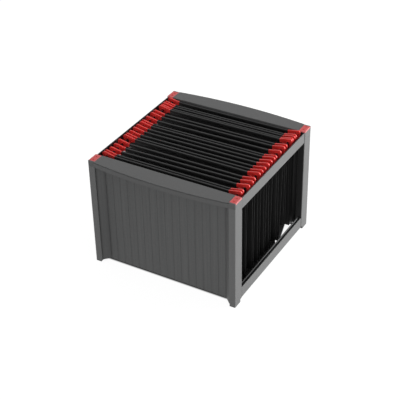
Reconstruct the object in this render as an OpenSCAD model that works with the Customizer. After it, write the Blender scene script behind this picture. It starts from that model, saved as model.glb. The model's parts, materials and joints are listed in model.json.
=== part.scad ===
// Open desktop rack with ten hanging files. Two end frames carry a channel rail each, two grooved
// panels close the front and the rear under bowed grip rails, and a red cap plugs each corner post.
// X runs along the file bars, the front faces -Y, and the origin is on the floor under the middle.

/* [Rack] */
// Width over the two end frames
rack_w = 370; // [350:1:400]
// Depth over the corner posts
rack_d = 370; // [350:1:420]
// Height of the flat top
rack_h = 275; // [273:1:300]
// Play of every plugged joint, on each side
fit = 0.15; // [0.05:0.05:0.25]

/* [Corner posts] */
// Width of a post, across the end frame
post_x = 16.5; // [15:0.5:20]
// Depth of a post, along the hanging rail
post_y = 32; // [28:1:36]
// Radius of the upright edges of a post
post_r = 2; // [1:0.5:3]
// Height of the foot under the frame
foot_h = 7.5; // [5:0.5:10]
// How far the foot is set back under the window
foot_step_y = 7; // [4:0.5:9]
// How far the foot is set back under the panel
foot_step_x = 2.5; // [1:0.5:4]

/* [Corner caps] */
// Thickness of the cap plate
cap_t = 3; // [2:0.5:4]
// Bevel around the top of the cap
cap_bevel = 0.7; // [0.4:0.1:1]
// Depth of the plug under the cap
cap_plug = 4.5; // [3:0.5:5]
// Radius of the two dimples in a cap
dimple_r = 2.2; // [1.5:0.1:2.6]
// Depth of the two dimples
dimple_depth = 1.2; // [0.6:0.1:1.6]
// Distance between the two dimples
dimple_pitch = 12; // [8:0.5:14]

/* [Side rails] */
// Wall of the channel rails
channel_t = 2.5; // [2:0.1:3]
// Set-back of the rails behind the faces of the posts
rail_step = 0.8; // [0.4:0.1:1.5]
// Height of the outer wall of the upper rail
rail_h = 26; // [25:1:31]
// Distance from the side of the rack in to the middle of the hanging edge
hang_inset = 20; // [19:0.5:22]
// Thickness of the hanging edge
hang_t = 3; // [2.5:0.1:3.5]
// Drop from the flat top down to the hanging edge
hang_drop = 7; // [6:0.5:9]
// Width of the lower rail
base_rail_x = 10; // [9:0.5:12]
// Height of the lower rail
base_rail_h = 27.5; // [24:0.5:32]
// Length of the tongues that plug the parts of the frame together
tongue = 8; // [5:0.5:9]

/* [Panels and grips] */
// Wall of the panels
panel_t = 2.5; // [2:0.1:3]
// Recess of the flat of a panel behind the posts
panel_recess = 18; // [12:1:22]
// Set-back of the edge of a panel behind the face of the post
panel_edge = 3.5; // [3:0.1:5]
// Height of a panel above the floor
panel_lift = 5.5; // [4:0.5:7]
// Number of slats that the grooves divide a panel into
panel_slats = 16; // [12:1:20]
// Width of a groove
groove_w = 1.6; // [0.8:0.1:2.4]
// Depth of a groove
groove_depth = 0.3; // [0.2:0.1:1]
// Thickness of the top of a grip rail
grip_t = 3; // [2:0.1:4]
// Wall of the lips of a grip rail
lip_t = 2.5; // [2:0.1:3]
// Height of the outer lip that the fingers hold
lip_h = 13.5; // [12:0.5:16]
// Height of the inner lip
inner_lip_h = 9; // [6:0.5:11]
// How far a grip rail bows out at mid width
grip_bow = 11.5; // [6:0.5:16]
// Depth of the shadow line under the top edge of a grip rail
shadow_depth = 1; // [0.5:0.1:1.5]

/* [Hanging files] */
// Depth of a file from the hanging edge to the bottom of its pocket
file_depth = 264; // [220:1:265]
// Thickness of the sheet
sheet_t = 0.8; // [0.6:0.1:1]
// Distance from the hanging edge in to the side of a pocket
sheet_inset = 8; // [7:0.5:10]
// Outer radius of the creases at the bottom of a pocket
crease_r = 2.4; // [1.6:0.1:2.4]
// Gap at the living hinge of the front sheet
hinge_gap = 0.3; // [0.2:0.1:0.5]
// Width of a file bar
bar_w = 3.6; // [3.2:0.1:4]
// Height of a file bar
bar_h = 9; // [8:0.5:10]
// Height of the top of a bar above the hanging edge
bar_rise = 4; // [3:0.5:5]
// Depth of the slot in a bar that holds the sheet
bar_slot = 4.5; // [3:0.5:5]

/* [Hooks] */
// Thickness of a hook
hook_t = 4; // [3:0.1:4.4]
// Distance from the hanging edge in to the end of the bar
hook_reach = 20; // [18:0.5:23]
// Height of the crest of a hook above the hanging edge
hook_crest = 9; // [8:0.5:12]
// Distance from the hanging edge out to that crest
nose_x = 6; // [5:0.5:8]
// Radius of the nose of a hook
nose_r = 5; // [4:0.5:6]
// Drop of the outer finger of a hook below the hanging edge
finger_drop = 17; // [12:0.5:19]
// Drop of the inner leg of a hook below the hanging edge
leg_drop = 10; // [7:0.5:12]
// Play of the notch of a hook over the hanging edge, on each side
notch_play = 1.4; // [0.8:0.1:1.8]
// Play above the hanging edge
seat_play = 0.6; // [0.4:0.1:0.8]
// Length of the blade that plugs a hook into its bar
blade = 10; // [8:0.5:14]
// Thickness of that blade
blade_t = 1.6; // [1.2:0.1:1.8]

/* [Hidden] */
$fn = 48;
bow_fn = 720;
over = 1;

post_in = rack_w / 2 - post_x;
rail_half = rack_d / 2 - post_y;
post_cx = rack_w / 2 - post_x / 2;
post_cy = rack_d / 2 - post_y / 2;
post_top = rack_h - cap_t;

rail_out = rack_w / 2 - rail_step;
rail_x = rack_w / 2 - hang_inset;
rail_top = rack_h - hang_drop;
rail_low = post_top - rail_h;
base_rail_in = rail_out - base_rail_x;
rail_tongue = [post_in + 2.5, post_in + 11.5];
base_tongue = [foot_h + 4, foot_h + base_rail_h - 5];

cap_plug_x = post_x - 8.5;
cap_plug_y = post_y - 14;

panel_out = rack_d / 2 - panel_recess;
panel_end = rack_d / 2 - panel_edge;
miter = panel_t * tan(22.5);
splay_x = post_in - miter - 0.1;
flat_x = splay_x - (panel_end - panel_out);
panel_tongue = 5;
panel_plug_top = rack_h - lip_h;
slat = 2 * flat_x / panel_slats;

grip_in = rail_half;
grip_end = post_in - fit;
grip_edge = rack_d / 2 + 0.3;
grip_low = rack_h - grip_t;
bow_r = (pow(grip_end, 2) + pow(grip_bow, 2)) / (2 * grip_bow);
bow_cy = grip_edge + grip_bow - bow_r;
shadow_z = rack_h - 2.8;
shadow_h = 1.4;
lug = [4, 16];
lug_y = rail_half + 3;
lug_low = rack_h - 13;
lug_tongue_h = 3.5;

bar_end = rail_x - hook_reach;
bar_top = rail_top + bar_rise;
bar_low = bar_top - bar_h;
sheet_half = rail_x - sheet_inset;
sheet_top = bar_low + bar_slot - 0.3;
blade_z = [bar_low + 1.5, bar_low + 7];
neck_half = bar_end - blade - 1;
body_drop = 5;

// One row for each file, front to rear: the places of its front and rear bar and of the front and
// rear crease of its pocket, as shares of half the length of the hanging rail, then how much
// shallower its pocket hangs, and how far the file is turned on the rails.
files = [
    [-0.900, -0.846, -0.922, -0.810, 0, 0],
    [-0.720, -0.608, -0.768, -0.592, 0, 1.2],
    [-0.498, -0.348, -0.533, -0.330, 0, 0],
    [-0.281, -0.190, -0.304, -0.163, 0, 0.6],
    [-0.080, 0.013, -0.111, 0.036, 0, 0.6],
    [0.110, 0.168, 0.082, 0.212, 0, 0.4],
    [0.306, 0.439, 0.258, 0.448, 0, 1],
    [0.517, 0.683, 0.507, 0.570, 0, 0.4],
    [0.722, 0.790, 0.722, 0.790, 24, 0.4],
    [0.840, 0.965, 0.930, 0.965, 5, 0.4]
];

function centre(k) = rail_half * (files[k][0] + files[k][1]) / 2;
function place(k, n) = rail_half * files[k][n] - centre(k);
function pocket_low(k) = rail_top - file_depth + files[k][4];
function hinge_z(k) = pocket_low(k) + crease_r;
function file_name(k, piece) = str("file_", k < 9 ? "0" : "", k + 1, "_", piece);

// Pieces that come in mirrored pairs are drawn at the right and at the rear.
module to_left() { mirror([1, 0, 0]) children(); }
module to_front() { mirror([0, 1, 0]) children(); }

module rounded_rect(w, d, r) {
    square([w - 2 * r, d], center = true);
    square([w, d - 2 * r], center = true);
    for (sx = [-1, 1], sy = [-1, 1])
        translate([sx * (w / 2 - r), sy * (d / 2 - r)]) circle(r);
}

// A box from its lowest to its highest corner
module span(low, high) {
    translate(low) cube(high - low);
}

module post_plan() {
    translate([post_cx, post_cy]) rounded_rect(post_x, post_y, post_r);
}

module post() {
    color("#5b5e60") difference() {
        linear_extrude(post_top) post_plan();
        // Steps around the foot
        span([post_in - over, rail_half - over, -over],
            [rack_w / 2 + over, rail_half + foot_step_y, foot_h]);
        span([post_in - over, rail_half - over, -over],
            [post_in + foot_step_x, rack_d / 2 + over, foot_h]);
        // Socket for the cap
        span([post_cx - cap_plug_x / 2 - fit, post_cy - cap_plug_y / 2 - fit, post_top - cap_plug - fit],
            [post_cx + cap_plug_x / 2 + fit, post_cy + cap_plug_y / 2 + fit, post_top + over]);
        // Mortises for the two side rails
        span([rail_tongue[0] - fit, rail_half - over, rail_low - fit],
            [rail_tongue[1] + fit, rail_half + tongue + fit, rail_low + channel_t + fit]);
        span([base_rail_in - fit, rail_half - over, base_tongue[0] - fit],
            [base_rail_in + channel_t + fit, rail_half + tongue + fit, base_tongue[1] + fit]);
        // Mortise for the grip rail
        span([post_in - over, lug_y - fit, lug_low - fit],
            [post_in + tongue + fit, lug_y + lug[1] + fit, lug_low + lug_tongue_h + fit]);
        // Step across the head for the outer lip of the grip rail
        span([post_in - over, rack_d / 2 - lip_t - fit, rack_h - lip_h - fit],
            [rack_w / 2 + over, rack_d / 2 + over, rack_h]);
        // Groove for the edge of the panel
        span([post_in - over, panel_end - panel_t - fit, panel_lift - fit],
            [post_in + panel_tongue + fit, panel_end + fit, panel_plug_top + fit]);
    }
}

module cap() {
    color("#d2545a") {
        difference() {
            translate([0, 0, post_top]) linear_extrude(cap_t) post_plan();
            cap_bevels();
            for (s = [-1, 1])
                translate([post_cx, post_cy + s * dimple_pitch / 2, rack_h - dimple_depth])
                    cylinder(r = dimple_r, h = cap_t);
        }
        span([post_cx - cap_plug_x / 2, post_cy - cap_plug_y / 2, post_top - cap_plug],
            [post_cx + cap_plug_x / 2, post_cy + cap_plug_y / 2, post_top + cap_t / 2]);
    }
}

module cap_bevels() {
    leg = cap_bevel * sqrt(2);
    for (s = [-1, 1]) {
        translate([post_cx + s * post_x / 2, post_cy, rack_h])
            rotate([0, 45, 0]) cube([leg, post_y + 2 * over, leg], center = true);
        translate([post_cx, post_cy + s * post_y / 2, rack_h])
            rotate([45, 0, 0]) cube([post_x + 2 * over, leg, leg], center = true);
    }
}

// Channel rail that the files hang on, with a rounded inner edge and a tongue at each end
module hanging_rail() {
    color("#6a6d6f") {
        rotate([90, 0, 0]) linear_extrude(2 * (rail_half - fit), center = true) hanging_section();
        span([rail_tongue[0], -rail_half - tongue, rail_low],
            [rail_tongue[1], rail_half + tongue, rail_low + channel_t]);
    }
}

module hanging_section() {
    translate([rail_out - channel_t, rail_low]) square([channel_t, rail_h]);
    translate([rail_x - hang_t / 2, rail_low]) square([rail_out - rail_x + hang_t / 2, channel_t]);
    translate([rail_x - hang_t / 2, rail_low]) square([hang_t, rail_top - hang_t / 2 - rail_low]);
    translate([rail_x, rail_top - hang_t / 2]) circle(hang_t / 2);
}

// Open channel between the feet of an end frame
module base_rail() {
    color("#6a6d6f") {
        rotate([90, 0, 0]) linear_extrude(2 * (rail_half - fit), center = true)
            translate([base_rail_in, foot_h]) difference() {
                square([base_rail_x, base_rail_h]);
                translate([channel_t, channel_t])
                    square([base_rail_x - 2 * channel_t, base_rail_h]);
            }
        span([base_rail_in, -rail_half - tongue, base_tongue[0]],
            [base_rail_in + channel_t, rail_half + tongue, base_tongue[1]]);
    }
}

// Disc whose edge is the bow of the grip rail, set in by some distance
module bow(inset) {
    translate([0, bow_cy]) circle(bow_r - inset, $fn = bow_fn);
}

module grip_plan(inset) {
    intersection() {
        bow(inset);
        translate([-grip_end, grip_in]) square([2 * grip_end, rack_d]);
    }
}

// Plan of the outer lip where it runs on across the head of a post
module lip_end_plan() {
    intersection() {
        union() {
            post_plan();
            translate([grip_end - over, rail_half]) square([post_x / 2 + over, post_y]);
        }
        translate([0, rack_d / 2 - lip_t]) square([rack_w, lip_t]);
    }
}

module grip_rail() {
    color("#616466") {
        difference() {
            translate([0, 0, rack_h - lip_h]) linear_extrude(lip_h) grip_plan(0);
            // Hollow between the two lips
            translate([0, 0, rack_h - lip_h - over]) linear_extrude(lip_h - grip_t + over)
                intersection() {
                    bow(lip_t);
                    translate([-rack_w, grip_in + lip_t]) square([2 * rack_w, rack_d]);
                }
            span([-rack_w, grip_in - over, rack_h - lip_h - over],
                [rack_w, grip_in + lip_t + over, rack_h - inner_lip_h]);
            // Shadow line under the top edge
            translate([0, 0, shadow_z]) linear_extrude(shadow_h) difference() {
                bow(-over);
                bow(shadow_depth);
            }
        }
        translate([0, 0, rack_h - lip_h]) linear_extrude(post_top - 0.1 - rack_h + lip_h) {
            lip_end_plan();
            to_left() lip_end_plan();
        }
        for (s = [-1, 1]) {
            span([s > 0 ? grip_end - lug[0] : -grip_end, lug_y, lug_low],
                [s > 0 ? grip_end : lug[0] - grip_end, lug_y + lug[1], grip_low + over]);
            span([s > 0 ? grip_end - over : -post_in - tongue, lug_y, lug_low],
                [s > 0 ? post_in + tongue : over - grip_end, lug_y + lug[1], lug_low + lug_tongue_h]);
        }
    }
}

// Plan of a panel: a flat between two splayed ends, each with an edge that plugs into a post
module panel_plan() {
    tip = post_in + panel_tongue;
    polygon([
        [-tip, panel_end], [-splay_x, panel_end], [-flat_x, panel_out],
        [flat_x, panel_out], [splay_x, panel_end], [tip, panel_end],
        [tip, panel_end - panel_t], [splay_x + miter, panel_end - panel_t],
        [flat_x + miter, panel_out - panel_t], [-flat_x - miter, panel_out - panel_t],
        [-splay_x - miter, panel_end - panel_t], [-tip, panel_end - panel_t]
    ]);
}

module panel() {
    color("#4c5052") difference() {
        translate([0, 0, panel_lift]) linear_extrude(grip_low - panel_lift) panel_plan();
        // The plugged edges stop below the caps
        for (s = [-1, 1])
            translate([s * (grip_end + tongue), rack_d / 2, rack_h])
                cube([2 * tongue, 2 * post_y, 2 * (rack_h - panel_plug_top)], center = true);
        for (n = [0 : panel_slats])
            translate([n * slat - flat_x, panel_out, rack_h / 2])
                cube([groove_w, 2 * groove_depth, 2 * rack_h], center = true);
    }
}

// A file stands square in its own frame, which is turned on the rails
module in_file(k) {
    translate([0, centre(k), 0]) rotate([0, 0, files[k][5]]) children();
}

// Sheet with shoulders tucked under the hooks and a neck that the bar grips
module sheet_outline(length) {
    under_bar = length - sheet_top + min(bar_low, rail_top - body_drop) - 0.8;
    under_leg = length - sheet_top + rail_top - leg_drop;
    tuck = [min(sheet_half - 4, rail_x - leg_drop - 2), min(under_leg + 2.5, under_bar)];
    polygon([
        [-sheet_half, 0], [sheet_half, 0],
        [sheet_half, under_leg - 2.5], tuck, [bar_end - 1, under_bar],
        [neck_half, under_bar], [neck_half, length],
        [-neck_half, length], [-neck_half, under_bar],
        [1 - bar_end, under_bar], [-tuck[0], tuck[1]], [-sheet_half, under_leg - 2.5]
    ]);
}

// Sheet that rises from a crease at y_low, upright at first, and leans towards the bar at y_high
module sheet(y_low, y_high, z_low) {
    z_bend = z_low + crease_r;
    slope = (y_high - y_low) / (bar_low + bar_slot / 2 - z_bend);
    y_top = y_low + slope * (sheet_top + over - z_bend);
    intersection() {
        rotate([90, 0, 90]) linear_extrude(rack_w, center = true) polygon([
            [y_low - sheet_t / 2, z_low - over], [y_low + sheet_t / 2, z_low - over],
            [y_low + sheet_t / 2, z_bend], [y_top + sheet_t / 2, sheet_top + over],
            [y_top - sheet_t / 2, sheet_top + over], [y_low - sheet_t / 2, z_bend]
        ]);
        translate([0, 0, z_low]) rotate([90, 0, 0])
            linear_extrude(rack_d, center = true) sheet_outline(sheet_top - z_low);
    }
}

module bar_section() {
    difference() {
        union() {
            translate([-bar_w / 2, bar_low]) square([bar_w, bar_h - bar_w / 2]);
            translate([0, bar_top - bar_w / 2]) circle(bar_w / 2);
        }
        translate([-sheet_t / 2 - 0.3, bar_low - over]) square([sheet_t + 0.6, bar_slot + over]);
    }
}

module bar(y) {
    translate([0, y, 0]) difference() {
        rotate([90, 0, 90]) linear_extrude(2 * bar_end, center = true) bar_section();
        for (s = [-1, 1])
            translate([s * bar_end, 0, (blade_z[0] + blade_z[1]) / 2])
                cube([2 * (blade + fit), blade_t + 2 * fit, blade_z[1] - blade_z[0] + 2 * fit],
                    center = true);
    }
}

// Bottom of a pocket, up to height h: a flat between two round creases
module trough(w, r, h) {
    intersection() {
        union() {
            translate([r - w / 2, 0]) square([w - 2 * r, 2 * h]);
            translate([-w / 2, r]) square([w, 2 * h]);
            for (s = [-1, 1])
                translate([s * (w / 2 - r), r]) circle(r);
        }
        translate([-w, 0]) square([2 * w, h]);
    }
}

module pocket_base(y_front, y_rear, z) {
    w = y_rear - y_front;
    translate([0, (y_front + y_rear) / 2, z]) rotate([90, 0, 90])
        linear_extrude(2 * sheet_half, center = true) difference() {
            trough(w + sheet_t, crease_r, crease_r);
            translate([0, sheet_t]) trough(w - sheet_t, crease_r - sheet_t, crease_r);
        }
}

module front_sheet(k) {
    color("#202122") in_file(k) {
        sheet(place(k, 2), place(k, 0), hinge_z(k) + hinge_gap);
        bar(place(k, 0));
    }
}

module rear_sheet(k) {
    color("#202122") in_file(k) {
        pocket_base(place(k, 2), place(k, 3), pocket_low(k));
        sheet(place(k, 3), place(k, 1), hinge_z(k));
        bar(place(k, 1));
    }
}

// Side view of a hook. The origin is on the hanging edge, and x points out of the rack.
module hook_outline() {
    finger_out = nose_x + nose_r;
    notch_in = hang_t / 2 + notch_play;
    finger_w = finger_out - notch_in;
    difference() {
        union() {
            // Body, from the bar up to the crest
            polygon([
                [-hook_reach, bar_rise], [-hook_reach + 6, bar_rise + 1],
                [nose_x - 2, hook_crest - 0.3], [nose_x, hook_crest], [nose_x, 0],
                [-leg_drop, -leg_drop + 4], [-14, -body_drop], [-hook_reach, -body_drop]
            ]);
            translate([nose_x, hook_crest - nose_r]) circle(nose_r);
            // Outer finger with a round tip
            translate([notch_in, finger_w / 2 - finger_drop])
                square([finger_w, finger_drop - finger_w / 2 + hook_crest - nose_r]);
            translate([notch_in + finger_w / 2, finger_w / 2 - finger_drop]) circle(finger_w / 2);
            // Inner leg
            translate([-leg_drop, 3.5 - leg_drop]) square([leg_drop - notch_in, leg_drop]);
            translate([3.5 - leg_drop, -leg_drop]) square([leg_drop - notch_in - 3.5, leg_drop]);
            translate([3.5 - leg_drop, 3.5 - leg_drop]) circle(3.5);
        }
        // Notch that hangs over the edge of the rail
        translate([-notch_in, -2 * finger_drop]) square([2 * notch_in, 2 * finger_drop + seat_play]);
    }
}

module hook(y) {
    translate([rail_x, y, rail_top]) rotate([90, 0, 0])
        linear_extrude(hook_t, center = true) hook_outline();
    span([bar_end - blade, y - blade_t / 2, blade_z[0]], [bar_end + over, y + blade_t / 2, blade_z[1]]);
}

module hooks(k, n) {
    color("#c8302c") in_file(k) {
        hook(place(k, n));
        to_left() hook(place(k, n));
    }
}

to_left() to_front() post();  // left_front_post
to_front() post();  // right_front_post
to_left() post();  // left_rear_post
post();  // right_rear_post
to_left() to_front() cap();  // left_front_cap
to_front() cap();  // right_front_cap
to_left() cap();  // left_rear_cap
cap();  // right_rear_cap
to_left() hanging_rail();  // left_hanging_rail
hanging_rail();  // right_hanging_rail
to_left() base_rail();  // left_base_rail
base_rail();  // right_base_rail
to_front() grip_rail();  // front_grip_rail
grip_rail();  // rear_grip_rail
to_front() panel();  // front_panel
panel();  // rear_panel
for (k = [0 : len(files) - 1]) {
    front_sheet(k);
    hooks(k, 0);
    rear_sheet(k);
    hooks(k, 1);
}
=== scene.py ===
import math

import bmesh
import bpy
import numpy as np
from mathutils import Matrix, Vector
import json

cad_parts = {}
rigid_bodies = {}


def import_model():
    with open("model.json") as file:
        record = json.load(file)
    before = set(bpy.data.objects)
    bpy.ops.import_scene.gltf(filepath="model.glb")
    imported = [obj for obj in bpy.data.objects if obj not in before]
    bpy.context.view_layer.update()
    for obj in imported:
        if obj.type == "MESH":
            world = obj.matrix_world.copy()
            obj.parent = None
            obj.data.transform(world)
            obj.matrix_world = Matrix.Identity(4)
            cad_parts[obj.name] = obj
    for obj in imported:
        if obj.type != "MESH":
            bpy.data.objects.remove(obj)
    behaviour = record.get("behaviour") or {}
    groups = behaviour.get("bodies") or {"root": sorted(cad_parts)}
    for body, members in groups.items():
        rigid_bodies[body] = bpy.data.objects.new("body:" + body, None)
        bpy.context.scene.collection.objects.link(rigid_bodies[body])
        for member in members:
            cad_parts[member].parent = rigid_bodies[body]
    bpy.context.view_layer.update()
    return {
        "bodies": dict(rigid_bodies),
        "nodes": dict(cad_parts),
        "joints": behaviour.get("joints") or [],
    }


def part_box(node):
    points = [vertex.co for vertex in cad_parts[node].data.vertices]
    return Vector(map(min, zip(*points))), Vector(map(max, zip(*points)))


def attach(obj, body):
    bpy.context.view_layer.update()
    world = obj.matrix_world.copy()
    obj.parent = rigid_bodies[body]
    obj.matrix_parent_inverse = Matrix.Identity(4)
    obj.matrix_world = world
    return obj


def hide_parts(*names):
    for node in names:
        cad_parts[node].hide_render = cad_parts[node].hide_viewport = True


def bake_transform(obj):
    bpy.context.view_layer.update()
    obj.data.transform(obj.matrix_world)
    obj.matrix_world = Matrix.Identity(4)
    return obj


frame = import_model()
joints = {joint["name"]: joint for joint in frame["joints"]}
fileNames = [name for name in frame["bodies"] if name.startswith("file_") and not name.endswith("_front")]
print("frame:", len(frame["nodes"]), "nodes,", len(fileNames), "files")


class Value:
    # A socket that takes part in plain arithmetic
    def __init__(self, wiring, socket):
        self.wiring = wiring
        self.socket = socket

    def maths(self, operation, *others):
        return self.wiring.add("ShaderNodeMath", {"operation": operation}, [self, *others])

    def __add__(self, other):
        return self.maths("ADD", other)

    def __sub__(self, other):
        return self.maths("SUBTRACT", other)

    def __rsub__(self, other):
        return self.wiring.add("ShaderNodeMath", {"operation": "SUBTRACT"}, [other, self])

    def __mul__(self, other):
        return self.maths("MULTIPLY", other)

    def __abs__(self):
        return self.maths("ABSOLUTE")

    def largest(self, other):
        return self.maths("MAXIMUM", other)

    __radd__ = __add__
    __rmul__ = __mul__


class Wiring:
    # The nodes and links of one tree in the making
    def __init__(self, tree):
        self.tree = tree

    def add(self, kind, settings, sockets, output=0):
        node = self.tree.nodes.new(kind)
        for key, setting in settings.items():
            setattr(node, key, setting)
        pairs = sockets.items() if isinstance(sockets, dict) else enumerate(sockets)
        for key, value in pairs:
            self.put(node.inputs[key], value)
        return Value(self, node.outputs[output])

    def put(self, socket, value):
        if isinstance(value, Value):
            self.tree.links.new(value.socket, socket)
        elif isinstance(value, tuple) and socket.type == "RGBA":
            socket.default_value = (*value, 1)
        else:
            socket.default_value = value

    def vector(self, **axes):
        return self.add("ShaderNodeCombineXYZ", {}, axes)

    def pictureRays(self):
        # 1 for what the camera sees, directly or in a reflection or through glass, and 0 for other light
        seen, shiny, clear = [self.add("ShaderNodeLightPath", {}, [], "Is " + ray + " Ray")
                              for ray in ("Camera", "Glossy", "Transmission")]
        return seen.largest(shiny).largest(clear)


class Finish(Wiring):
    # A node-based material in the making
    def __init__(self, name):
        self.material = bpy.data.materials.new(name)
        self.material.use_nodes = True
        super().__init__(self.material.node_tree)
        self.place = self.add("ShaderNodeTexCoord", {}, [], "Object")
        self.x, self.y, self.z = [self.add("ShaderNodeSeparateXYZ", {}, [self.place], axis) for axis in "XYZ"]

    def facing(self, axis):
        # How far a face looks along an axis, from -1 to 1
        normal = self.add("ShaderNodeNewGeometry", {}, [], "Normal")
        return self.add("ShaderNodeSeparateXYZ", {}, [normal], axis)

    def noise(self, scale, detail, roughness, stretch=None):
        place = self.place
        if stretch:
            place = self.add("ShaderNodeMapping", {}, {"Vector": place, "Scale": stretch})
        return self.add("ShaderNodeTexNoise", {}, {"Vector": place, "Scale": scale, "Detail": detail,
                                                   "Roughness": roughness}, "Fac")

    def band(self, value, low, high):
        # 0 below low, 1 above high, smooth in between
        return self.add("ShaderNodeMapRange", {"interpolation_type": "SMOOTHSTEP"},
                        {"Value": value, "From Min": low, "From Max": high}, "Result")

    def blend(self, amount, first, second):
        return self.add("ShaderNodeMix", {"data_type": "RGBA"}, {0: amount, 6: first, 7: second}, 2)

    def shade(self, colour, amount):
        # Multiplies a colour by a grey value
        grey = self.add("ShaderNodeCombineColor", {}, [amount, amount, amount])
        return self.add("ShaderNodeMix", {"data_type": "RGBA", "blend_type": "MULTIPLY"},
                        {0: 1.0, 6: colour, 7: grey}, 2)

    def bump(self, height, depth):
        sockets = {"Height": height, "Strength": 1.0, "Distance": depth}
        return self.add("ShaderNodeBump", {}, sockets, "Normal")

    def wear(self, **sockets):
        for name, value in sockets.items():
            self.put(self.tree.nodes["Principled BSDF"].inputs[name.replace("_", " ")], value)
        return self.material


# Every noise is scale, detail, roughness and, where it is drawn out, a stretch along x, y and z.
# A tone or a roughness starts at its base and adds a share of each noise
crisp = 0.0003  # width of a boundary between two colours

mouldedNoises = {"grain": (1500, 2, 0.6), "flow": (9, 4, 0.55, (1, 1, 0.35)), "scuff": (55, 5, 0.7),
                 "mottle": (380, 2, 0.6)}
mouldedGreys = {
    "frameGrey": {"colour": (0.157, 0.158, 0.158), "grain": 0.00005, "rough": {"base": 0.45, "scuff": 0.12}},
    "gripGrey": {"colour": (0.108, 0.109, 0.109), "grain": 0.00006, "rough": {"base": 0.47, "scuff": 0.12}},
}
mouldedLook = {
    "tone": {"base": 0.77, "flow": 0.1, "grain": 0.06, "dust": 0.05, "mottle": 0.3},
    "dustLevel": (0.6, 1.0), "dustSpecks": (0.45, 0.75), "foot": 0.003, "footTone": 0.55,
    "windowFace": 0.1531, "linedTone": 0.08,
}


def mixNoises(shares, **noises):
    total = shares["base"]
    for name, noise in noises.items():
        total = total + noise * shares[name]
    return total


def mouldedFinish(name, paintedWindowShade=False):
    # Grained plastic: fine leather-like grain, slow flow marks, mottling and a trace of dust on level faces.
    # Painted contact shade darkens it at the floor, and with painted window shade a piece is nearly black on
    # the faces that look into the window
    grey, look = mouldedGreys[name], mouldedLook
    finish = Finish(name)
    grain, flow = finish.noise(*mouldedNoises["grain"]), finish.noise(*mouldedNoises["flow"])
    scuff, mottle = finish.noise(*mouldedNoises["scuff"]), finish.noise(*mouldedNoises["mottle"])
    dust = finish.band(finish.facing("Z"), *look["dustLevel"]) * finish.band(scuff, *look["dustSpecks"])
    tone = mixNoises(look["tone"], flow=flow, grain=grain, dust=dust, mottle=mottle)
    # Painted contact shade: darker near the floor
    tone = tone * (look["footTone"] + (1 - look["footTone"]) * finish.band(finish.z, 0.0, look["foot"]))
    # Painted shade: nearly black on the faces that look into the window
    if paintedWindowShade:
        outside = finish.band(abs(finish.y), look["windowFace"], look["windowFace"] + crisp)
        tone = tone * (look["linedTone"] + (1 - look["linedTone"]) * outside)
    return finish.wear(
        Base_Color=finish.shade(grey["colour"], tone),
        Roughness=mixNoises(grey["rough"], scuff=scuff),
        Normal=finish.bump(grain, grey["grain"]),
    )


railLook = {
    "colour": (0.157, 0.158, 0.158), "grain": 0.00005, "flow": (9, 4, 0.55, (0.35, 1, 1)),
    "tone": {"base": 0.79, "flow": 0.1, "grain": 0.06, "mottle": 0.3}, "rough": {"base": 0.5, "flow": 0.08},
    "wall": 0.1818, "inside": (0.034, 0.008, 0.008), "wallTop": (0.034, 0.030, 0.030), "level": (0.6, 0.8),
    "seam": 0.1526, "seamWidth": 0.0016, "seamDepth": 0.4,
    "sill": (0.130, 0.132, 0.132), "sillTop": (0.06, 0.061), "sillDepth": (-0.1, 0.1), "sillShade": 0.35,
}


def railFinish():
    # Moulded outside, with seams at the posts; painted shade makes the channel nearly black and reddish and
    # darkens the top of its wall.
    # On the base rails the top and the inside are a sill whose colour is painted light, paler towards the
    # rear
    look = railLook
    finish = Finish("railGrey")
    grain, mottle = finish.noise(*mouldedNoises["grain"]), finish.noise(*mouldedNoises["mottle"])
    flow = finish.noise(*look["flow"])
    inner = 1 - finish.band(abs(finish.x), look["wall"], look["wall"] + crisp)
    level = finish.band(finish.facing("Z"), *look["level"])
    seam = 1 - look["seamDepth"] * finish.band(abs(finish.y), look["seam"] - look["seamWidth"], look["seam"])
    tone = mixNoises(look["tone"], flow=flow, grain=grain, mottle=mottle)
    outside = finish.shade(look["colour"], tone * seam)
    # Painted shade: the channel and the top of its wall are dark
    upper = finish.blend(inner, finish.blend(level, outside, look["wallTop"]), look["inside"])
    # Painted light: the sill grows paler towards the rear
    paintedLightRearward = finish.band(finish.y, *look["sillDepth"])
    sill = finish.shade(look["sill"], look["sillShade"] + (1 - look["sillShade"]) * paintedLightRearward)
    lower = finish.blend(level.largest(inner), outside, sill)
    return finish.wear(
        Base_Color=finish.blend(finish.band(finish.z, *look["sillTop"]), lower, upper),
        Roughness=mixNoises(look["rough"], flow=flow),
        Normal=finish.bump(grain, look["grain"]),
    )


panelLook = {
    "colour": (0.106, 0.1075, 0.1075), "grain": 0.00008, "streakHeight": 0.6,
    "grainNoise": (1300, 2, 0.6), "flow": (7, 4, 0.6, (1, 1, 0.2)), "streak": (260, 3, 0.6, (1, 1, 0.02)),
    "tone": {"base": 0.5, "flow": 0.14, "grain": 0.06, "streak": 0.55, "mottle": 0.3},
    "rough": {"base": 0.51, "flow": 0.1}, "inwards": (-0.05, 0.0),
    "fold": 0.1529, "foldWidth": (0.0006, 0.0055), "foldDepth": 0.2,
    "edge": 0.1672, "edgeWidth": 0.0022, "edgeDepth": 0.4,
    "slat": 0.01911, "grooveWidth": (0.0006, 0.0028), "grooveDepth": 0.11, "insideDepth": 0.9,
}


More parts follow.
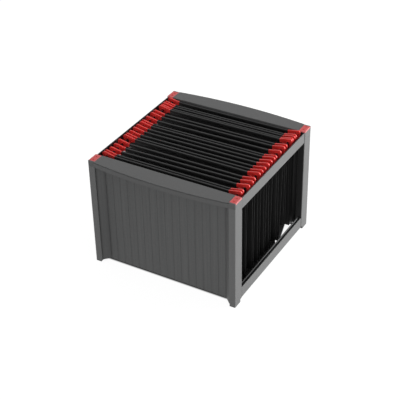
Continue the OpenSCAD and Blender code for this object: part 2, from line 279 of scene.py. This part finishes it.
def panelFinish():
    # Panel with drawn upright marks, darker at its edges; painted shade darkens its grooves and folds and
    # makes its inward face nearly black
    look = panelLook
    finish = Finish("panelGrey")
    grain, flow, streak = [finish.noise(*look[key]) for key in ("grainNoise", "flow", "streak")]
    mottle = finish.noise(*mouldedNoises["mottle"])
    # Painted shade along the folds
    fold = 1 - finish.band(abs(abs(finish.x) - look["fold"]), *look["foldWidth"])
    edge = finish.band(abs(finish.x), look["edge"] - look["edgeWidth"], look["edge"])
    # Painted shade: the inward face is nearly black
    inwards = 1 - finish.band(finish.facing("Y") * finish.y, *look["inwards"])
    slats = (finish.x + look["fold"]).maths("PINGPONG", look["slat"] / 2)
    # Painted shade in the grooves
    grooveShade = 1 - finish.band(slats, *look["grooveWidth"])
    tone = mixNoises(look["tone"], flow=flow, grain=grain, streak=streak, mottle=mottle)
    tone = tone * (1 - look["foldDepth"] * fold) * (1 - look["edgeDepth"] * edge)
    tone = tone * (1 - look["grooveDepth"] * grooveShade)
    tone = tone * (1 - look["insideDepth"] * inwards)
    return finish.wear(
        Base_Color=finish.shade(look["colour"], tone),
        Roughness=mixNoises(look["rough"], flow=flow),
        Normal=finish.bump(grain + streak * look["streakHeight"], look["grain"]),
    )


redGrain = {"noise": (1800, 2, 0.5), "depth": 0.00002}
hookRedLook = {"colour": (0.88, 0.050, 0.044), "rough": {"base": 0.42, "grain": 0.08}, "cloud": (60, 3, 0.5),
               "tone": {"base": 0.9, "cloud": 0.2}, "depthLight": 0.08, "depthScale": 0.002}
capRedLook = {"colour": (0.82, 0.10, 0.10), "rough": {"base": 0.40, "grain": 0.08}, "cloud": (90, 3, 0.5),
              "tone": {"base": 0.92, "cloud": 0.16}, "rim": (0.80, 0.19, 0.19), "rimWidth": 0.0022,
              "rimFade": 0.6, "lip": (0.108, 0.109, 0.109), "lipWidth": 0.0035}


def redFinish(finish, look, colour, **more):
    # Satin moulded red, faintly clouded and grained
    cloud = finish.noise(*look["cloud"])
    grain = finish.noise(*redGrain["noise"])
    return finish.wear(
        Base_Color=finish.shade(colour, mixNoises(look["tone"], cloud=cloud)),
        Roughness=mixNoises(look["rough"], grain=grain),
        Normal=finish.bump(grain, redGrain["depth"]),
        **more,
    )


def hookFinish():
    look = hookRedLook
    return redFinish(Finish("hookRed"), look, look["colour"],
                     Subsurface_Weight=look["depthLight"], Subsurface_Scale=look["depthScale"])


def capFinish():
    # Red with a paler rim round the top
    look = capRedLook
    finish = Finish("capRed")
    low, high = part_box("right_rear_cap")
    middle, half = (low + high) / 2, (high - low) / 2
    edgeX = half.x - abs(abs(finish.x) - middle.x)
    edgeY = half.y - abs(abs(finish.y) - middle.y)
    rim = 1 - finish.band(edgeX.maths("MINIMUM", edgeY), look["rimWidth"] * look["rimFade"], look["rimWidth"])
    colour = finish.blend(rim, look["colour"], look["rim"])
    # The grey lip of the grip rail runs on in front of the cap
    outer = middle.y + half.y - look["lipWidth"]
    colour = finish.blend(finish.band(abs(finish.y), outer, outer + crisp), colour, look["lip"])
    return redFinish(finish, look, colour)


cardLook = {"colour": (0.0044, 0.0044, 0.0045), "rough": {"base": 0.56, "cloud": 0.12}, "depth": 0.00004,
            "fibre": (900, 4, 0.7, (1, 1, 0.4)), "cloud": (14, 4, 0.6), "edge": (0.1555, 0.157),
            "tone": {"base": 0.8, "fibre": 0.25, "cloud": 0.25, "edge": 1.6}}


def sheetFinish():
    # Black card with fine fibres; a painted highlight makes it paler along the free edges
    look = cardLook
    finish = Finish("sheetBlack")
    fibre, cloud = finish.noise(*look["fibre"]), finish.noise(*look["cloud"])
    # Painted highlight along the free side edges
    edge = finish.band(abs(finish.x), *look["edge"])
    return finish.wear(
        Base_Color=finish.shade(look["colour"], mixNoises(look["tone"], fibre=fibre, cloud=cloud, edge=edge)),
        Roughness=mixNoises(look["rough"], cloud=cloud),
        Normal=finish.bump(fibre, look["depth"]),
    )


lacquerLook = {"colour": (0.0095, 0.0095, 0.0097), "rough": {"base": 0.40, "drawn": 0.14}, "depth": 0.00003,
               "drawn": (500, 3, 0.6, (0.03, 1, 1)), "cloud": (25, 3, 0.6),
               "tone": {"base": 0.85, "cloud": 0.3}}


def barFinish():
    # Lacquered bar with drawn marks along its length
    look = lacquerLook
    finish = Finish("barBlack")
    drawn, cloud = finish.noise(*look["drawn"]), finish.noise(*look["cloud"])
    return finish.wear(
        Base_Color=finish.shade(look["colour"], mixNoises(look["tone"], cloud=cloud)),
        Roughness=mixNoises(look["rough"], drawn=drawn),
        Normal=finish.bump(drawn, look["depth"]),
    )


finishes = {
    "frame": mouldedFinish("frameGrey", paintedWindowShade=True),
    "grip": mouldedFinish("gripGrey"),
    "rail": railFinish(),
    "panel": panelFinish(),
    "cap": capFinish(),
    "hook": hookFinish(),
    "sheet": sheetFinish(),
    "bar": barFinish(),
}
print("finishes:", len(finishes))


def setFinish(piece, key):
    piece.data.materials.clear()
    piece.data.materials.append(finishes[key])


def newPiece(name, data):
    # An object at the origin that shows a mesh, a lamp or the camera
    piece = bpy.data.objects.new(name, data)
    bpy.context.scene.collection.objects.link(piece)
    return piece


# Frame: the carried-over solids, with their edges eased
frameLook = {"edge": 0.0006, "capEdge": 0.0004, "segments": 2, "sharp": math.radians(28),
             "weld": 0.00001, "flat": math.radians(0.6)}
frameFinishes = {"_post": "frame", "_cap": "cap", "_hanging_rail": "rail", "_base_rail": "rail",
                 "_grip_rail": "grip", "_panel": "panel"}


def easeEdges(piece, width, flatten):
    weld = piece.modifiers.new("weld", "WELD")
    weld.merge_threshold = frameLook["weld"]
    if flatten:
        flat = piece.modifiers.new("flat", "DECIMATE")
        flat.decimate_type = "DISSOLVE"
        flat.angle_limit = frameLook["flat"]
    bevel = piece.modifiers.new("bevel", "BEVEL")
    bevel.width = width
    bevel.segments = frameLook["segments"]
    bevel.limit_method = "ANGLE"
    bevel.angle_limit = frameLook["sharp"]
    bevel.harden_normals = False
    piece.data.shade_smooth()
    normals = piece.modifiers.new("normals", "WEIGHTED_NORMAL")
    normals.keep_sharp = False


for name, piece in frame["nodes"].items():
    for ending, key in frameFinishes.items():
        if name.endswith(ending):
            setFinish(piece, key)
            # A cap isn't flattened, because that left it with empty faces
            easeEdges(piece, frameLook["capEdge" if key == "cap" else "edge"], flatten=key != "cap")
print("frame: finished and eased")


# Files: each is drawn in a frame of its own, measured across from its front crease.
# The outline is heights with half widths, up to the shoulders that are tucked under the hooks
sheetLook = {
    "outline": [(0.2555, 0.157), (0.2605, 0.153), (0.2621, 0.144), (0.2622, 0.134)], "top": 0.2668,
    "thickness": 0.0005, "solidHalf": 0.0004, "creaseRadius": 0.002, "columns": 40, "rows": 30,
    "bow": 0.0006, "bowPitch": 9, "bowPhase": 2.3, "ripple": 0.0004, "ripplePitch": 41,
    "filePhase": 1.7, "rearPhase": 2.1, "stiffTop": 0.01, "sharp": math.radians(40),
    "bendFrom": 0.0026, "bendTo": 0.0009,
}


def fileFrame(name):
    joint = joints[name + "_open"]
    along = Vector(joint["axis"]).normalized()
    across = Vector((-along.y, along.x, 0))
    origin = Vector(joint["pos_m"])
    bars = []
    for piece in ("_front_hooks", "_rear_hooks"):
        low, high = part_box(name + piece)
        bars.append(((low + high) / 2 - origin).dot(across))
    middle = origin - along * origin.dot(along)
    solid = frame["nodes"][name + "_rear_sheet"]
    base = [(solid.matrix_world @ vert.co - origin) for vert in solid.data.vertices]
    width = max(point.dot(across) for point in base if point.z < 0) - sheetLook["solidHalf"]
    lean = math.atan2(bars[0], sheetLook["top"] - origin.z)
    return {"along": along, "across": across, "crease": origin, "middle": middle, "baseWidth": width,
            "off": across * math.cos(lean) - Vector((0, 0, math.sin(lean))),
            "frontBar": bars[0], "rearBar": bars[1], "turn": math.atan2(along.y, along.x)}


class Growth(Wiring):
    # A geometry node tree, whose sizes, place and finish are named inputs
    def __init__(self, name, inputs):
        super().__init__(bpy.data.node_groups.new(name, "GeometryNodeTree"))
        face = self.tree.interface
        face.new_socket("Geometry", in_out="INPUT", socket_type="NodeSocketGeometry")
        for label, kind in inputs.items():
            face.new_socket(label, in_out="INPUT", socket_type="NodeSocket" + kind)
        face.new_socket("Geometry", in_out="OUTPUT", socket_type="NodeSocketGeometry")
        sockets = self.tree.nodes.new("NodeGroupInput").outputs
        self.given = {label: Value(self, sockets[label]) for label in ("Geometry", *inputs)}

    def end(self, geometry):
        turned = self.add("GeometryNodeTransform", {}, {
            "Geometry": self.add("GeometryNodeRealizeInstances", {}, {"Geometry": geometry}),
            "Translation": self.given["Place"],
            "Rotation": self.vector(Z=self.given["Turn"]),
        })
        painted = self.add("GeometryNodeSetMaterial", {}, {
            "Geometry": turned, "Material": self.given["Finish"]})
        self.put(self.tree.nodes.new("NodeGroupOutput").inputs["Geometry"], painted)
        return self.tree


def grow(name, mesh, tree, sharp, inputs):
    # Runs a tree on a mesh and keeps the result as a plain mesh
    seed = newPiece(name + "Seed", mesh)
    modifier = seed.modifiers.new("growth", "NODES")
    modifier.node_group = tree
    for item in tree.interface.items_tree:
        if item.in_out == "INPUT" and item.name in inputs:
            modifier[item.identifier] = inputs[item.name]
    depsgraph = bpy.context.evaluated_depsgraph_get()
    grown = bpy.data.meshes.new_from_object(seed.evaluated_get(depsgraph))
    grown.name = name
    bpy.data.objects.remove(seed)
    grown.shade_smooth()
    grown.set_sharp_from_angle(angle=sharp)
    return grown


hookLook = {
    "thickness": 0.004, "crest": 0.009, "barTop": 0.004, "reach": 0.020, "barLow": -0.005,
    "rampIn": 0.006, "rampUp": 0.001, "browBack": 0.002, "browDrop": 0.0003,
    "noseRadius": 0.005, "noseOut": 0.006, "fingerIn": 0.0029, "fingerTip": -0.017,
    "legOut": -0.010, "legLow": -0.010, "legRadius": 0.0035, "legShoulder": 0.004, "seat": 0.0006,
    "rim": 0.0013, "webDepth": 0.0006, "webSlope": 0.0003, "edge": 0.0003,
    "railHalf": 0.165, "railTop": 0.268, "sharp": math.radians(35),
}


def arcPoints(centre, radius, start, stop, steps):
    points = []
    for step in range(steps + 1):
        angle = math.radians(start + (stop - start) * step / steps)
        points.append((centre[0] + radius * math.cos(angle), centre[1] + radius * math.sin(angle)))
    return points


def hookOutline():
    # Drawn in the plane of the bar, with the rail's edge at 0
    look = hookLook
    fingerOut = look["noseOut"] + look["noseRadius"]
    tip = (fingerOut - look["fingerIn"]) / 2
    leg = look["legRadius"]
    outline = [(-look["reach"], look["barLow"]), (-look["reach"], look["barTop"]),
               (-look["reach"] + look["rampIn"], look["barTop"] + look["rampUp"]),
               (look["noseOut"] - look["browBack"], look["crest"] - look["browDrop"])]
    outline += arcPoints((look["noseOut"], look["crest"] - look["noseRadius"]), look["noseRadius"], 90, 0, 8)
    outline += arcPoints((look["fingerIn"] + tip, look["fingerTip"] + tip), tip, 0, -180, 12)
    outline += [(look["fingerIn"], look["seat"]), (-look["fingerIn"], look["seat"]),
                (-look["fingerIn"], look["legLow"])]
    outline += arcPoints((look["legOut"] + leg, look["legLow"] + leg), leg, -90, -180, 5)
    outline += [(look["legOut"] - look["legShoulder"], look["barLow"])]
    return outline


def hookMesh():
    # Flat hook with a raised rim round a sunken web, and with its outer edges eased
    look = hookLook
    outline = hookOutline()
    half = look["thickness"] / 2
    sheet = bmesh.new()
    verts = [sheet.verts.new((x, -half, z)) for x, z in outline]
    face = sheet.faces.new(verts)
    grown = bmesh.ops.extrude_face_region(sheet, geom=[face])
    moved = [item for item in grown["geom"] if isinstance(item, bmesh.types.BMVert)]
    bmesh.ops.translate(sheet, verts=moved, vec=(0, look["thickness"], 0))
    bmesh.ops.recalc_face_normals(sheet, faces=sheet.faces[:])
    sides = [face for face in sheet.faces if abs(face.normal.y) > 0.9]
    for side in sides:
        bmesh.ops.inset_region(sheet, faces=[side], thickness=look["rim"], depth=0, use_even_offset=True)
        bmesh.ops.inset_region(sheet, faces=[side], thickness=look["webSlope"], depth=-look["webDepth"],
                               use_even_offset=True)

    def isOuter(vert):
        nearest = min(math.hypot(vert.co.x - x, vert.co.z - z) for x, z in outline)
        return abs(abs(vert.co.y) - half) < 1e-7 and nearest < 1e-6

    def isRim(edge):
        # Where a flat side meets the wall
        first, second = edge.verts
        steep = [abs(face.normal.y) for face in edge.link_faces]
        return (first.co.y * second.co.y > 0 and min(steep) < 0.5 and max(steep) > 0.9
                and isOuter(first) and isOuter(second))

    rimEdges = [edge for edge in sheet.edges if isRim(edge)]
    bmesh.ops.bevel(sheet, geom=rimEdges, offset=look["edge"], segments=2, affect="EDGES",
                    clamp_overlap=True)
    bmesh.ops.recalc_face_normals(sheet, faces=sheet.faces[:])
    mesh = bpy.data.meshes.new("hookPattern")
    sheet.to_mesh(mesh)
    sheet.free()
    return mesh


def hookTree():
    # The pattern at both ends of a bar, one of them turned round
    growth = Growth("hookPair", {"Rail Half": "Float", "Rail Top": "Float", "Place": "Vector",
                                 "Turn": "Float", "Finish": "Material"})
    half, top = growth.given["Rail Half"], growth.given["Rail Top"]
    ends = growth.add("GeometryNodeMeshLine", {"mode": "END_POINTS"}, {
        "Count": 2, "Start Location": growth.vector(X=half, Z=top),
        "Offset": growth.vector(X=half * -1.0, Z=top)})
    halfTurn = growth.add("GeometryNodeInputIndex", {}, []) * math.pi
    pair = growth.add("GeometryNodeInstanceOnPoints", {}, {
        "Points": ends, "Instance": growth.given["Geometry"], "Rotation": growth.vector(Z=halfTurn)})
    return growth.end(pair)


barLook = {"half": 0.145, "width": 0.0036, "height": 0.009, "low": 0.263, "round": 0.0015, "corners": 4,
           "sharp": math.radians(35)}


def barTree():
    # A rounded bar, swept along a straight line
    growth = Growth("hangingBar", {"Half Length": "Float", "Width": "Float", "Height": "Float",
                                   "Round": "Float", "Place": "Vector", "Turn": "Float",
                                   "Finish": "Material"})
    given = growth.given
    block = growth.add("GeometryNodeCurvePrimitiveQuadrilateral", {}, {
        "Width": given["Width"], "Height": given["Height"]})
    profile = growth.add("GeometryNodeFilletCurve", {"mode": "POLY"}, {
        "Curve": block, "Count": barLook["corners"], "Radius": given["Round"]})
    half = given["Half Length"]
    line = growth.add("GeometryNodeCurvePrimitiveLine", {}, {
        "Start": growth.vector(X=half * -1.0), "End": growth.vector(X=half)})
    path = growth.add("GeometryNodeSetCurveNormal", {"mode": "Z_UP"}, {"Curve": line})
    bar = growth.add("GeometryNodeCurveToMesh", {}, {
        "Curve": path, "Profile Curve": profile, "Fill Caps": True})
    return growth.end(bar)


def sheetPath(place):
    # Section of a pocket, from the front bar down, under, and up to the rear bar
    look = sheetLook
    low, top, r, width = place["crease"].z, look["top"], look["creaseRadius"], place["baseWidth"]
    marks = [height for height, half in look["outline"]]
    heights = sorted([low + (marks[0] - low) * row / look["rows"] for row in range(1, look["rows"] + 1)]
                     + marks[1:] + [top])
    front = [(place["frontBar"] * (z - low) / (top - low), z) for z in reversed(heights)]
    rise = place["rearBar"] - width
    rear = [(width + rise * (z - low) / (top - low), z) for z in heights]
    crease = arcPoints((r, low), r, 180, 270, 6) + arcPoints((width - r, low), r, 270, 360, 6)
    return front + crease + rear


def sheetMesh(name, place, number):
    look = sheetLook
    path = sheetPath(place)
    low, top = place["crease"].z, look["top"]
    marks, halves = zip(*look["outline"])
    verts, faces = [], []
    for row, (across, z) in enumerate(path):
        half = float(np.interp(z, marks, halves))
        rear = row > len(path) / 2
        phase = number * look["filePhase"] + (look["rearPhase"] if rear else 0)
        bow = look["bow"] * math.sin(phase * look["bowPhase"] + z * look["bowPitch"])
        belly = math.sin(math.pi * min(max((z - low) / (top - look["stiffTop"] - low), 0), 1))
        for column in range(look["columns"] + 1):
            x = half * (2 * column / look["columns"] - 1)
            wave = look["ripple"] * math.sin(x * look["ripplePitch"] + phase) + bow
            point = place["middle"] + place["along"] * x + place["across"] * (across + wave * belly)
            verts.append((point.x, point.y, z))
    wide = look["columns"] + 1
    for row in range(len(path) - 1):
        for column in range(look["columns"]):
            corner = row * wide + column
            faces.append((corner, corner + 1, corner + 1 + wide, corner + wide))
    mesh = bpy.data.meshes.new(name + "_sheet")
    mesh.from_pydata(verts, [], faces)
    shell = bmesh.new()
    shell.from_mesh(mesh)
    bmesh.ops.recalc_face_normals(shell, faces=shell.faces[:])
    bmesh.ops.solidify(shell, geom=shell.faces[:], thickness=look["thickness"])
    bmesh.ops.recalc_face_normals(shell, faces=shell.faces[:])
    shell.to_mesh(mesh)
    shell.free()
    mesh.shade_smooth()
    mesh.set_sharp_from_angle(angle=look["sharp"])
    return mesh


hookPattern = hookMesh()
hookGrowth, barGrowth = hookTree(), barTree()


def hangBar(name, end, body, place):
    # A bar and the two hooks at its ends, which move with their leaf
    middle = place["middle"] + place["across"] * place[end + "Bar"]
    hooks = grow(f"{name}_{end}_clips", hookPattern, hookGrowth, hookLook["sharp"], {
        "Turn": place["turn"], "Rail Half": hookLook["railHalf"], "Rail Top": hookLook["railTop"],
        "Place": (middle.x, middle.y, 0), "Finish": finishes["hook"]})
    clips = newPiece(hooks.name, hooks)
    bar = grow(f"{name}_{end}_bar", bpy.data.meshes.new("empty"), barGrowth, barLook["sharp"], {
        "Turn": place["turn"], "Half Length": barLook["half"], "Width": barLook["width"],
        "Height": barLook["height"], "Round": barLook["round"],
        "Place": (middle.x, middle.y, barLook["low"] + barLook["height"] / 2),
        "Finish": finishes["bar"]})
    barPiece = newPiece(bar.name, bar)
    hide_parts(f"{name}_{end}_hooks")
    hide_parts(f"{name}_{end}_sheet")
    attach(clips, body)
    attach(barPiece, body)


def hangFile(number, name):
    place = fileFrame(name)
    sheet = newPiece(name + "_sheet", sheetMesh(name, place, number))
    setFinish(sheet, "sheet")
    hangBar(name, "front", name + "_front", place)
    hangBar(name, "rear", name, place)
    # The sheet runs on from one leaf to the other, round the crease at the bottom
    start = place["crease"] + place["off"] * sheetLook["bendFrom"]
    stop = place["crease"] + place["off"] * sheetLook["bendTo"]
    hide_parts(name + "_front_sheet", name + "_rear_sheet")
    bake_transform(sheet)


for number, name in enumerate(fileNames):
    hangFile(number, name)
print("files:", len(fileNames), "hung")


# Camera at the photograph's angle, aimed from a point beside the middle of the floor
viewpoint = {"azimuth": 30.5007, "elevation": 33.7941, "roll": -1.2167, "distance": 2.56903,
             "right": -0.00897, "up": 0.099075, "focalPixels": 1068.67, "imagePixels": 400,
             "sensorWidth": 36, "farthest": 50}


def makeCamera():
    azimuth, elevation = math.radians(viewpoint["azimuth"]), math.radians(viewpoint["elevation"])
    roll = math.radians(viewpoint["roll"])
    back = Vector((math.sin(azimuth) * math.cos(elevation), -math.cos(azimuth) * math.cos(elevation),
                   math.sin(elevation)))
    level = (-back).cross(Vector((0, 0, 1))).normalized()
    upright = level.cross(-back)
    right = level * math.cos(roll) + upright * math.sin(roll)
    up = upright * math.cos(roll) - level * math.sin(roll)
    data = bpy.data.cameras.new("camera")
    data.sensor_width = viewpoint["sensorWidth"]
    data.lens = data.sensor_width * viewpoint["focalPixels"] / viewpoint["imagePixels"]
    data.clip_end = viewpoint["farthest"]
    eye = back * viewpoint["distance"] + right * viewpoint["right"] + up * viewpoint["up"]
    camera = newPiece("camera", data)
    camera.matrix_world = Matrix.Translation(eye) @ Matrix((right, up, back)).transposed().to_4x4()
    bpy.context.scene.camera = camera


makeCamera()
print("camera: placed")

# Studio: a key lamp from the right and rear, a weaker one from the front and a faint one overhead.
# The floor is grey paper with a glow that only the camera sees, so it looks white without lighting the rack
studio = {"ambient": 0.35, "aim": (0, 0, 0.14), "floorHalf": 6.0, "floorGlow": 0.92, "floorColour": 0.24}
lamps = {
    "key": {"from": (2.2, 1.72, 0.7), "size": 1.2, "power": 80},
    "fill": {"from": (1.0, -2.6, 0.5), "size": 1.4, "power": 16},
    "top": {"from": (-0.3, -0.6, 2.6), "size": 1.8, "power": 3},
}


def makeLamp(name):
    look = lamps[name]
    data = bpy.data.lights.new(name, "AREA")
    data.shape = "DISK"
    data.size = look["size"]
    data.energy = look["power"]
    lamp = newPiece(name, data)
    aim = Vector(studio["aim"]) - Vector(look["from"])
    lamp.matrix_world = Matrix.Translation(look["from"]) @ aim.to_track_quat("-Z", "Y").to_matrix().to_4x4()


def makeWorld():
    world = bpy.data.worlds.new("studio")
    world.use_nodes = True
    bpy.context.scene.world = world
    sky = Wiring(world.node_tree)
    ambient, white = [sky.add("ShaderNodeBackground", {}, {"Color": (1, 1, 1), "Strength": strength})
                      for strength in (studio["ambient"], 1.0)]
    both = sky.add("ShaderNodeMixShader", {}, [sky.pictureRays(), ambient, white])
    sky.put(sky.tree.nodes["World Output"].inputs["Surface"], both)


# Painted shade: the floor under the rack loses its glow and shows as plain paper, but for a slit and a
# slanted corner under the rear files
shadeLook = {"half": 0.174, "front": -0.166, "rear": 0.173, "soft": 0.003, "crisp": 0.001, "lit": 0.1625,
             "cornerFront": 0.088, "cornerRear": 0.163, "slantHalf": 0.1555, "slantAt": 0.100, "slant": 0.275,
             "slitInner": 0.148, "slitFront": 0.077}


def paintedShadeUnderRack(finish):
    # 1 where painted shade takes the floor's glow away, 0 elsewhere
    look = shadeLook

    def past(value, limit, edge=look["crisp"]):
        return finish.band(value, limit - edge, limit + edge)

    def between(value, low, high, edge=look["crisp"]):
        return past(value, low, edge) - past(value, high, edge)

    shade = between(finish.x, -look["half"], look["half"], look["soft"]) * between(
        finish.y, look["front"], look["rear"], look["soft"])
    slanted = finish.x + (finish.y - look["slantAt"]) * look["slant"]
    corner = past(slanted, look["slantHalf"]) * between(finish.y, look["cornerFront"], look["cornerRear"])
    slit = past(finish.x, look["slitInner"]) * between(finish.y, look["slitFront"], look["cornerFront"])
    lit = (corner + slit) * (1 - past(finish.x, look["lit"]))
    return shade * (1 - lit)


def makeFloor():
    half = studio["floorHalf"]
    mesh = bpy.data.meshes.new("floor")
    corners = [(-half, -half, 0), (half, -half, 0), (half, half, 0), (-half, half, 0)]
    mesh.from_pydata(corners, [], [(0, 1, 2, 3)])
    floor = newPiece("floor", mesh)
    finish = Finish("floorWhite")
    paper = finish.add("ShaderNodeBsdfDiffuse", {}, {"Color": (studio["floorColour"],) * 3})
    glow = finish.pictureRays() * studio["floorGlow"]
    light = finish.add("ShaderNodeEmission", {}, {"Color": (1.0, 1.0, 1.0), "Strength": glow})
    both = finish.add("ShaderNodeAddShader", {}, [paper, light])
    # Painted shade: under the rack the floor is paper without glow
    shaded = finish.add("ShaderNodeMixShader", {}, [paintedShadeUnderRack(finish), both, paper])
    finish.put(finish.tree.nodes["Material Output"].inputs["Surface"], shaded)
    floor.data.materials.append(finish.material)


makeWorld()
makeFloor()
for name in lamps:
    makeLamp(name)
bpy.context.scene.view_settings.view_transform = "Standard"
print("studio: ready")
